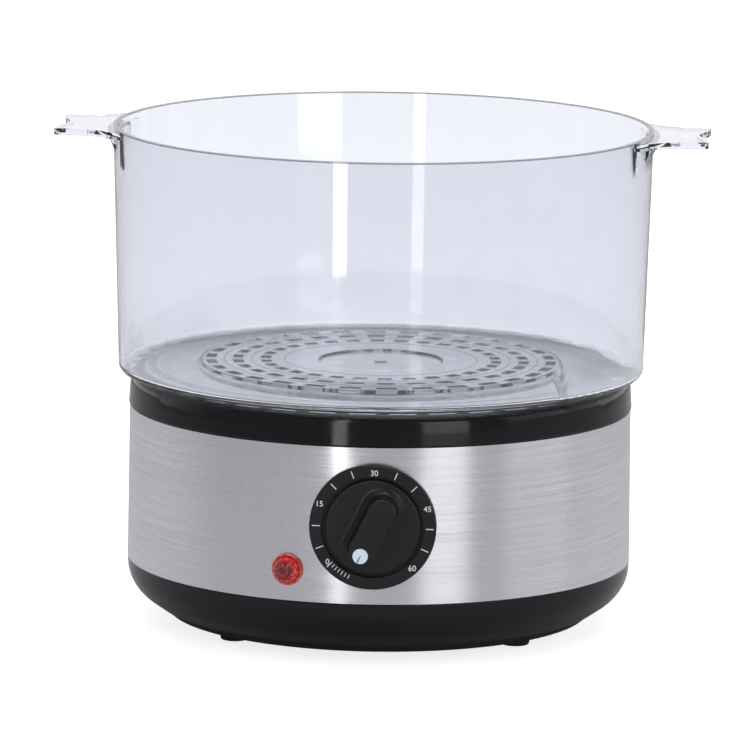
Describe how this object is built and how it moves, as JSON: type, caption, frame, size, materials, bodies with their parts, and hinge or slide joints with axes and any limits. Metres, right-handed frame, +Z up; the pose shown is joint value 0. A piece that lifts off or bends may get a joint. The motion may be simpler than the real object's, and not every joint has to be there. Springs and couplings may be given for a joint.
{
  "type": "electric food steamer",
  "caption": "Electric food steamer: round base with steel band, timer knob and pilot lamp, water tank with heater, drip tray and a clear perforated bowl with fishtail handles.",
  "frame": {"origin": "on the table, on the axis of the round body", "axes": "+Z up, -Y towards the dial, +X to the right of someone who faces the dial"},
  "size_m": [0.291, 0.2483, 0.2236],
  "materials": {
    "clear_plastic": "clear moulded, polished",
    "tray_plastic": "natural white, satin",
    "black_gloss": "glossy black moulding",
    "black_satin": "satin black moulding",
    "black_matte": "fine grained black moulding",
    "brushed_band": "fine brushing round the body",
    "foot_rubber": "moulded rubber",
    "zinc_steel": "bright zinc plate",
    "heater_steel": "oxidised steel tube",
    "cast_aluminium": "die cast, turned face",
    "bell_chrome": "polished",
    "brass_tab": "stamped",
    "silicone": "red-brown silicone",
    "fuse_sleeve": "woven glass sleeve",
    "red_lens": "clear red, faceted inside",
    "bulb_glass": "clear bulb",
    "white_plastic": "white moulding",
    "marker_plastic": "pale blue-white inlay"
  },
  "bodies": {
    "base": {"bottom_cover": "black_matte", "foot_front_left": "foot_rubber", "foot_front_right": "foot_rubber", "foot_rear_left": "foot_rubber", "foot_rear_right": "foot_rubber", "cover_screws": "zinc_steel", "base_pan": "black_gloss", "body_band": "brushed_band", "reservoir_tub": "black_gloss", "heater_plate": "cast_aluminium", "heater_gasket": "silicone", "heater_clamp": "zinc_steel", "clamp_screws": "zinc_steel", "heating_tube": "heater_steel", "heater_tabs": "brass_tab", "thermostat": "cast_aluminium", "thermostat_bridge": "zinc_steel", "thermal_fuse": "fuse_sleeve", "dial_bezel": "black_satin", "timer_screws": "zinc_steel", "timer_plate": "zinc_steel", "timer_case": "zinc_steel", "timer_bell": "bell_chrome", "bell_screw": "zinc_steel", "timer_tabs": "brass_tab", "pilot_lens": "red_lens", "lamp_retainer": "zinc_steel", "pilot_bulb": "bulb_glass", "cord_gland": "black_matte", "gland_nut": "black_matte", "terminal_block": "white_plastic", "terminal_screws": "brass_tab"},
    "knob": {"timer_knob": "black_satin", "knob_marker": "marker_plastic", "knob_spring": "zinc_steel", "timer_shaft": "zinc_steel"},
    "steam_ring": {"steam_ring": "tray_plastic"},
    "drip_tray": {"drip_tray": "tray_plastic"},
    "steam_bowl": {"steam_bowl": "clear_plastic"}
  },
  "joints": [
    {"name": "knob_turn", "type": "hinge", "parent": "base", "child": "knob", "pos_m": [0, 0, 0.0643], "axis": [0, 1, 0], "range_deg": [0, 290]},
    {"name": "ring_lift", "type": "slide", "parent": "base", "child": "steam_ring", "axis": [0, 0, 1], "range_m": [0, 0.1]},
    {"name": "tray_lift", "type": "slide", "parent": "steam_ring", "child": "drip_tray", "axis": [0, 0, 1], "range_m": [0, 0.06]},
    {"name": "bowl_lift", "type": "slide", "parent": "drip_tray", "child": "steam_bowl", "axis": [0, 0, 1], "range_m": [0, 0.06]}
  ]
}
